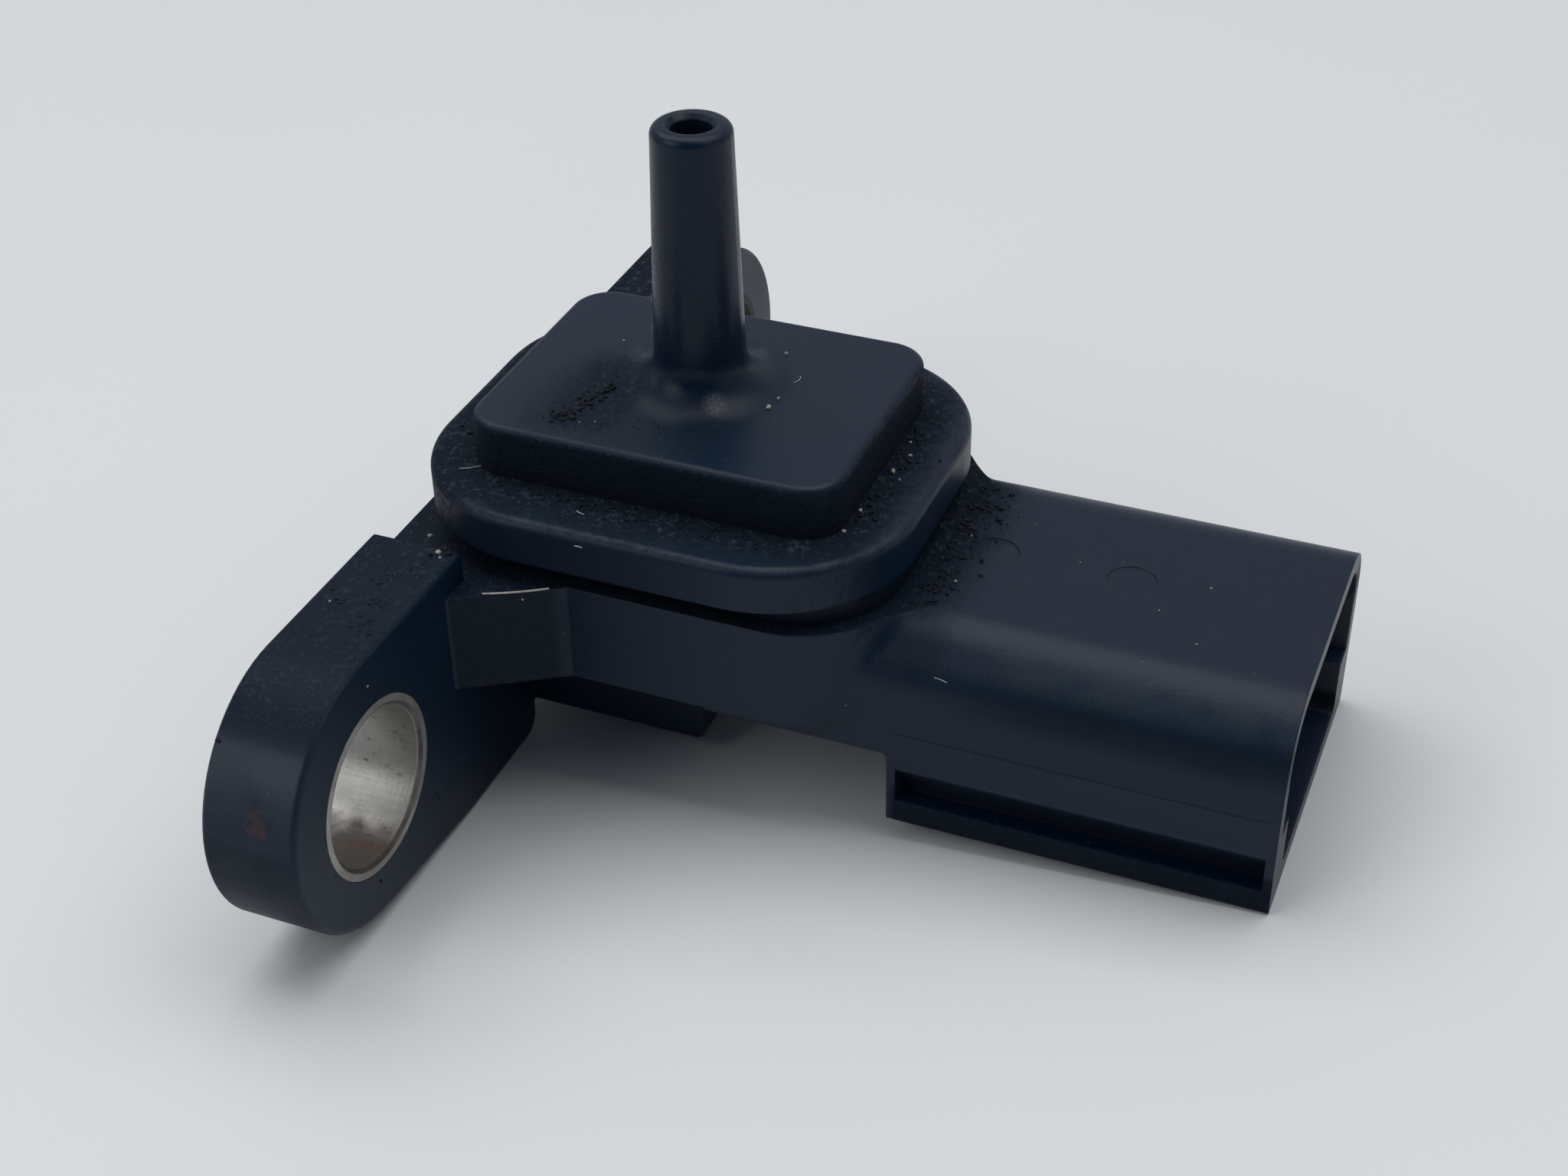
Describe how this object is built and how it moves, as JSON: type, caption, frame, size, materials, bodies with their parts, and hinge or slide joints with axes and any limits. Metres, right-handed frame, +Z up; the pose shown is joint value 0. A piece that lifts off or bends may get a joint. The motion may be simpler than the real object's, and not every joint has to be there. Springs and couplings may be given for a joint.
{
  "type": "vacuum pressure sensor",
  "caption": "Black plastic engine vacuum sensor with an upright hose nipple, a side connector socket and a bolt-on plate with bushed ears.",
  "frame": {"origin": "midway between the two bolt holes, on the flat back of the mounting plate", "axes": "+X from the back to the connector's mouth, +Y along the line of the two holes, +Z up the hose nipple"},
  "size_m": [0.0454, 0.0566, 0.0341],
  "materials": {
    "housing_plastic": "moulded glass-filled plastic, satin black, dusty",
    "cap_plastic": "moulded glass-filled plastic, satin black, dusty",
    "adhesive": "cured black silicone",
    "bush_steel": "scratched bare steel with light rust",
    "tinned_brass": "bright tin plating",
    "board_ceramic": "white fired ceramic",
    "case_plastic": "moulded plastic",
    "lead_metal": "tin plating",
    "solder": "bright solder",
    "pedestal_glass": "clear glass",
    "silicon": "polished silicon",
    "gold_wire": "drawn gold wire",
    "gel": "clear soft gel",
    "aluminium_wire": "drawn aluminium wire",
    "coating_resin": "cured black resin",
    "capacitor_ceramic": "tan ceramic with tinned ends"
  },
  "bodies": {
    "root": {"housing": "housing_plastic", "pressure_cap": "cap_plastic", "adhesive_seal": "adhesive", "bush_near": "bush_steel", "bush_far": "bush_steel", "terminal_supply": "tinned_brass", "terminal_signal": "tinned_brass", "terminal_ground": "tinned_brass", "circuit_board": "board_ceramic", "board_adhesive": "adhesive", "sensor_case": "case_plastic", "case_leads": "lead_metal", "lead_solder": "solder", "glass_pedestal": "pedestal_glass", "sensing_die": "silicon", "die_wires": "gold_wire", "protective_gel": "gel", "terminal_wires": "aluminium_wire", "amplifier_chip": "silicon", "chip_coating": "coating_resin", "capacitor_supply": "capacitor_ceramic", "capacitor_output": "capacitor_ceramic", "capacitor_filter": "capacitor_ceramic"}
  },
  "joints": []
}
